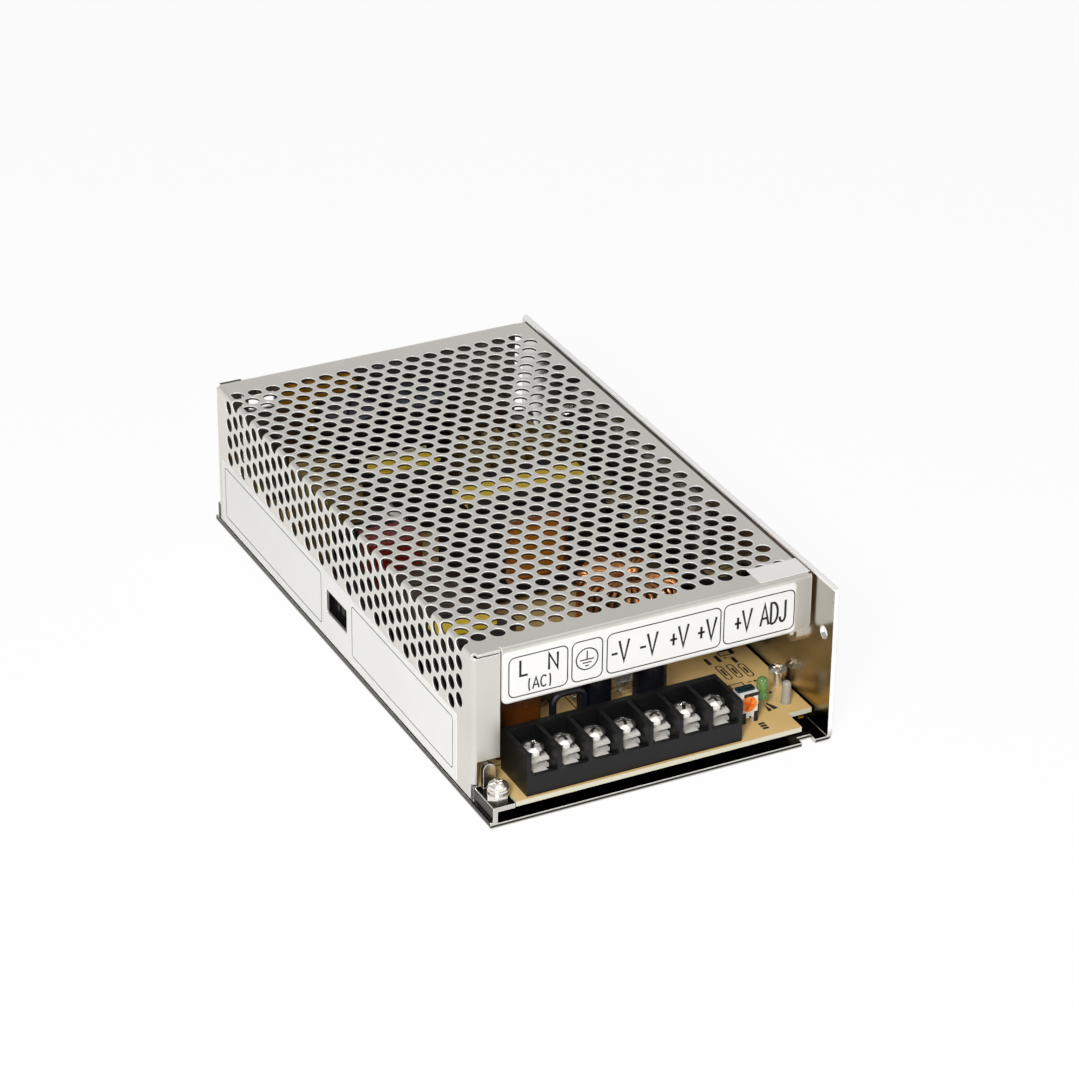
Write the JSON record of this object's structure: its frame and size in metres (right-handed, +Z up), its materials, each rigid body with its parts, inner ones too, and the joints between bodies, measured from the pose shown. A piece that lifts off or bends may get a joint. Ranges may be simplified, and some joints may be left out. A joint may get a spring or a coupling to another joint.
{
  "type": "enclosed power supply",
  "caption": "Enclosed switching power supply: perforated folded cover on a sheet chassis, with a row of barrier screw terminals, a trimmer and a lamp at the front.",
  "frame": {"origin": "under the middle of the base, on the plane the supply stands on", "axes": "+X right seen from the terminals, towards the tall wall; +Y towards the rear, the terminals face -Y; +Z up"},
  "size_m": [0.11, 0.199, 0.05],
  "materials": {
    "chassis_steel": "zinc plated sheet, semi bright",
    "cover_steel": "zinc plated sheet, satin",
    "label_white": "white film label, satin",
    "film_amber": "translucent amber film",
    "board_tan": "pressed paper laminate, satin",
    "screw_steel": "nickel plated steel",
    "nylon_white": "moulded nylon",
    "block_black": "moulded black plastic, satin",
    "contact_plate": "nickel plated brass",
    "trimmer_white": "moulded white plastic",
    "rotor_orange": "moulded orange plastic",
    "lamp_green": "tinted clear resin",
    "selector_black": "moulded black plastic",
    "slider_black": "moulded black plastic",
    "ferrite": "sintered ferrite, matt",
    "winding_tape": "yellow polyester tape",
    "band_amber": "amber tape",
    "sleeve_dark": "dark shrink sleeve",
    "case_brown": "dipped resin",
    "case_red": "dipped resin",
    "case_black": "moulded epoxy",
    "disc_green": "coated disc",
    "tube_glass": "clear glass",
    "copper_wire": "enamelled copper",
    "ring_powder": "coated powder ring",
    "spreader_aluminium": "black anodised bar",
    "wire_dark": "insulated wire"
  },
  "bodies": {
    "case": {"chassis": "chassis_steel", "cover": "cover_steel", "terminal_label": "label_white", "side_label": "label_white", "seal_sticker": "label_white", "insulation_film": "film_amber", "circuit_board": "board_tan", "board_posts": "screw_steel", "board_screws": "screw_steel", "board_washers": "screw_steel", "board_support": "nylon_white", "earth_screw": "screw_steel", "earth_washer": "screw_steel", "earth_nut": "screw_steel", "cover_screws": "screw_steel", "mount_nuts": "screw_steel", "terminal_housing": "block_black", "terminal_plates": "contact_plate", "trimmer_body": "trimmer_white", "lamp": "lamp_green", "lamp_leads": "screw_steel", "selector_body": "selector_black", "transformer_core": "ferrite", "transformer_winding": "winding_tape", "transformer_band": "band_amber", "driver_core": "ferrite", "driver_winding": "winding_tape", "line_choke_core": "ferrite", "line_choke_winding": "winding_tape", "bulk_capacitors": "sleeve_dark", "output_capacitors": "sleeve_dark", "filter_capacitors": "sleeve_dark", "line_capacitor": "case_brown", "red_capacitor": "case_red", "bridge_rectifier": "case_black", "thermal_resistor": "disc_green", "fuse_tube": "tube_glass", "fuse_clips": "screw_steel", "output_choke_core": "ring_powder", "output_choke_winding": "copper_wire", "heat_spreader": "spreader_aluminium", "power_transistors": "case_black", "spreader_screws": "screw_steel", "jumper_wire": "wire_dark"},
    "terminal_1": {"terminal_screw_1": "screw_steel", "terminal_clamp_1": "contact_plate"},
    "terminal_2": {"terminal_screw_2": "screw_steel", "terminal_clamp_2": "contact_plate"},
    "terminal_3": {"terminal_screw_3": "screw_steel", "terminal_clamp_3": "contact_plate"},
    "terminal_4": {"terminal_screw_4": "screw_steel", "terminal_clamp_4": "contact_plate"},
    "terminal_5": {"terminal_screw_5": "screw_steel", "terminal_clamp_5": "contact_plate"},
    "terminal_6": {"terminal_screw_6": "screw_steel", "terminal_clamp_6": "contact_plate"},
    "terminal_7": {"terminal_screw_7": "screw_steel", "terminal_clamp_7": "contact_plate"},
    "trimmer": {"trimmer_rotor": "rotor_orange"},
    "selector": {"selector_slider": "slider_black"}
  },
  "joints": [
    {"name": "terminal_1_travel", "type": "slide", "parent": "case", "child": "terminal_1", "axis": [0, 0, 1], "range_m": [-0.002, 0.001]},
    {"name": "terminal_2_travel", "type": "slide", "parent": "case", "child": "terminal_2", "axis": [0, 0, 1], "range_m": [-0.002, 0.001]},
    {"name": "terminal_3_travel", "type": "slide", "parent": "case", "child": "terminal_3", "axis": [0, 0, 1], "range_m": [-0.002, 0.001]},
    {"name": "terminal_4_travel", "type": "slide", "parent": "case", "child": "terminal_4", "axis": [0, 0, 1], "range_m": [-0.002, 0.001]},
    {"name": "terminal_5_travel", "type": "slide", "parent": "case", "child": "terminal_5", "axis": [0, 0, 1], "range_m": [-0.002, 0.001]},
    {"name": "terminal_6_travel", "type": "slide", "parent": "case", "child": "terminal_6", "axis": [0, 0, 1], "range_m": [-0.002, 0.001]},
    {"name": "terminal_7_travel", "type": "slide", "parent": "case", "child": "terminal_7", "axis": [0, 0, 1], "range_m": [-0.002, 0.001]},
    {"name": "trimmer_turn", "type": "hinge", "parent": "case", "child": "trimmer", "pos_m": [0.03192, -0.0906, 0.0132], "axis": [0, 1, 0], "range_deg": [-105, 105]},
    {"name": "selector_slide", "type": "slide", "parent": "case", "child": "selector", "axis": [0, 1, 0], "range_m": [-0.0045, 0]}
  ]
}
